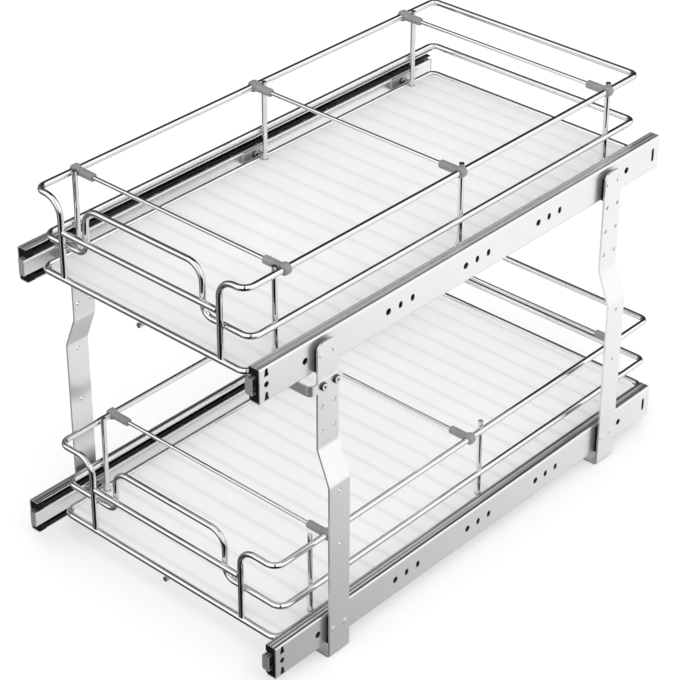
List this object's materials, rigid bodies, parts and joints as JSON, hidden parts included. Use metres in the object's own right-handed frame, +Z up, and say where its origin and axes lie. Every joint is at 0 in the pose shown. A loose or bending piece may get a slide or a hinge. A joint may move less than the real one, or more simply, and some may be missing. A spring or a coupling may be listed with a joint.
{
  "type": "pull out cabinet basket",
  "caption": "Two-tier pull-out wire basket organiser for a cabinet, each basket on side-mounted ball-bearing slides carried by bent steel posts.",
  "frame": {"origin": "on the cabinet floor, midway between the slides and midway along the overall depth", "axes": "+Z up, baskets pull out towards -Y, +X to the right seen from the front"},
  "size_m": [0.3394, 0.5856, 0.4031],
  "materials": {
    "post_steel": "bright zinc-plated flat steel",
    "slide_steel": "zinc-plated rolled steel",
    "greased_steel": "rolled steel, dark with ball grease",
    "cage_steel": "thin steel strip, dark with ball grease",
    "ball_steel": "polished steel",
    "chrome_wire": "polished chrome plate",
    "bright_fasteners": "bright plated screws",
    "black_plastic": "black moulded plastic",
    "grey_plastic": "light grey moulded plastic",
    "frosted_plastic": "frosted translucent sheet"
  },
  "bodies": {
    "frame": {"front_right_post": "post_steel", "front_left_post": "post_steel", "rear_right_post": "post_steel", "rear_left_post": "post_steel", "front_strap": "post_steel", "strap_screws": "bright_fasteners", "slide_spacers": "black_plastic", "slide_rivets": "post_steel", "lower_right_cabinet_rail": "slide_steel", "lower_left_cabinet_rail": "slide_steel", "upper_right_cabinet_rail": "slide_steel", "upper_left_cabinet_rail": "slide_steel"},
    "lower_outer_cage_set": {"lower_outer_cages": "cage_steel", "lower_outer_balls": "ball_steel"},
    "lower_middle_rails": {"lower_left_middle_rail": "greased_steel", "lower_right_middle_rail": "greased_steel", "lower_front_bumpers": "black_plastic"},
    "lower_inner_cage_set": {"lower_inner_cages": "cage_steel", "lower_inner_balls": "ball_steel"},
    "lower_basket": {"lower_left_drawer_rail": "slide_steel", "lower_right_drawer_rail": "slide_steel", "lower_basket_rim": "chrome_wire", "lower_basket_bottom_ring": "chrome_wire", "lower_basket_handle_wire": "chrome_wire", "lower_basket_front_bar": "chrome_wire", "lower_basket_struts": "chrome_wire", "lower_basket_floor_wires": "chrome_wire", "lower_liner": "frosted_plastic", "lower_basket_brackets": "slide_steel", "lower_bracket_screws": "bright_fasteners"},
    "lower_front_divider": {"lower_front_divider_rod": "chrome_wire", "lower_front_divider_clips": "grey_plastic"},
    "lower_middle_divider": {"lower_middle_divider_rod": "chrome_wire", "lower_middle_divider_clips": "grey_plastic"},
    "lower_rear_divider": {"lower_rear_divider_rod": "chrome_wire", "lower_rear_divider_clips": "grey_plastic"},
    "upper_outer_cage_set": {"upper_outer_cages": "cage_steel", "upper_outer_balls": "ball_steel"},
    "upper_middle_rails": {"upper_left_middle_rail": "greased_steel", "upper_right_middle_rail": "greased_steel", "upper_front_bumpers": "black_plastic"},
    "upper_inner_cage_set": {"upper_inner_cages": "cage_steel", "upper_inner_balls": "ball_steel"},
    "upper_basket": {"upper_left_drawer_rail": "slide_steel", "upper_right_drawer_rail": "slide_steel", "upper_basket_rim": "chrome_wire", "upper_basket_bottom_ring": "chrome_wire", "upper_basket_handle_wire": "chrome_wire", "upper_basket_front_bar": "chrome_wire", "upper_basket_struts": "chrome_wire", "upper_basket_floor_wires": "chrome_wire", "upper_liner": "frosted_plastic", "upper_basket_brackets": "slide_steel", "upper_bracket_screws": "bright_fasteners"},
    "upper_front_divider": {"upper_front_divider_rod": "chrome_wire", "upper_front_divider_clips": "grey_plastic"},
    "upper_middle_divider": {"upper_middle_divider_rod": "chrome_wire", "upper_middle_divider_clips": "grey_plastic"},
    "upper_rear_divider": {"upper_rear_divider_rod": "chrome_wire", "upper_rear_divider_clips": "grey_plastic"}
  },
  "joints": [
    {"name": "lower_basket_slide", "type": "slide", "parent": "frame", "child": "lower_basket", "axis": [0, -1, 0], "range_m": [0, 0.54]},
    {"name": "lower_middle_rails_slide", "type": "slide", "parent": "frame", "child": "lower_middle_rails", "axis": [0, -1, 0], "range_m": [0, 0.27]},
    {"name": "lower_outer_cage_set_slide", "type": "slide", "parent": "frame", "child": "lower_outer_cage_set", "axis": [0, -1, 0], "range_m": [0, 0.135]},
    {"name": "lower_inner_cage_set_slide", "type": "slide", "parent": "frame", "child": "lower_inner_cage_set", "axis": [0, -1, 0], "range_m": [0, 0.405]},
    {"name": "lower_front_divider_slide", "type": "slide", "parent": "lower_basket", "child": "lower_front_divider", "axis": [0, 1, 0], "range_m": [-0.01, 0.085]},
    {"name": "lower_middle_divider_slide", "type": "slide", "parent": "lower_basket", "child": "lower_middle_divider", "axis": [0, 1, 0], "range_m": [-0.095, 0.016]},
    {"name": "lower_rear_divider_slide", "type": "slide", "parent": "lower_basket", "child": "lower_rear_divider", "axis": [0, 1, 0], "range_m": [-0.2, 0.003]},
    {"name": "upper_basket_slide", "type": "slide", "parent": "frame", "child": "upper_basket", "axis": [0, -1, 0], "range_m": [0, 0.54]},
    {"name": "upper_middle_rails_slide", "type": "slide", "parent": "frame", "child": "upper_middle_rails", "axis": [0, -1, 0], "range_m": [0, 0.27]},
    {"name": "upper_outer_cage_set_slide", "type": "slide", "parent": "frame", "child": "upper_outer_cage_set", "axis": [0, -1, 0], "range_m": [0, 0.135]},
    {"name": "upper_inner_cage_set_slide", "type": "slide", "parent": "frame", "child": "upper_inner_cage_set", "axis": [0, -1, 0], "range_m": [0, 0.405]},
    {"name": "upper_front_divider_slide", "type": "slide", "parent": "upper_basket", "child": "upper_front_divider", "axis": [0, 1, 0], "range_m": [0, 0.1]},
    {"name": "upper_middle_divider_slide", "type": "slide", "parent": "upper_basket", "child": "upper_middle_divider", "axis": [0, 1, 0], "range_m": [-0.1, 0.001]},
    {"name": "upper_rear_divider_slide", "type": "slide", "parent": "upper_basket", "child": "upper_rear_divider", "axis": [0, 1, 0], "range_m": [-0.2, 0.002]}
  ],
  "couplings": [
    {"joint": "lower_middle_rails_slide", "follows": "lower_basket_slide", "ratio": 0.5},
    {"joint": "lower_outer_cage_set_slide", "follows": "lower_basket_slide", "ratio": 0.25},
    {"joint": "lower_inner_cage_set_slide", "follows": "lower_basket_slide", "ratio": 0.75},
    {"joint": "upper_middle_rails_slide", "follows": "upper_basket_slide", "ratio": 0.5},
    {"joint": "upper_outer_cage_set_slide", "follows": "upper_basket_slide", "ratio": 0.25},
    {"joint": "upper_inner_cage_set_slide", "follows": "upper_basket_slide", "ratio": 0.75}
  ]
}
